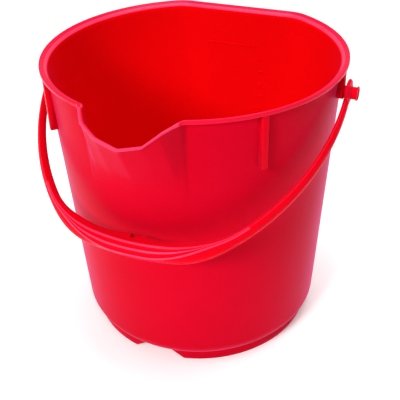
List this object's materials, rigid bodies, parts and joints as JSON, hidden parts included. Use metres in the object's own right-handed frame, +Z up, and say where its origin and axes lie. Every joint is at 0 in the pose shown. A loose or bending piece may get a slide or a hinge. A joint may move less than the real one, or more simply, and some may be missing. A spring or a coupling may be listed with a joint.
{
  "type": "wash bucket",
  "caption": "Round tapering wash bucket with a V-shaped pouring spout, a flat side, stacking ribs and a foot ring, and a moulded bail that swings on headed side pins.",
  "frame": {"origin": "centre of the foot ring, in the plane it stands on", "axes": "+Z up the bucket's axis, -Y towards the pouring spout, +Y towards the flat side, X along the bail's pivot axis"},
  "size_m": [0.3366, 0.3125, 0.31],
  "materials": {
    "body_plastic": "satin moulded polypropylene",
    "bail_plastic": "satin moulded polypropylene",
    "pin_plastic": "satin moulded polypropylene"
  },
  "bodies": {
    "bucket": {"bucket_body": "body_plastic", "left_pivot_pin": "pin_plastic", "right_pivot_pin": "pin_plastic"},
    "bail": {"bail_handle": "bail_plastic"}
  },
  "joints": [
    {"name": "bail_swing", "type": "hinge", "parent": "bucket", "child": "bail", "pos_m": [0, 0, 0.287], "axis": [-1, 0, 0], "range_deg": [0, 248]}
  ]
}
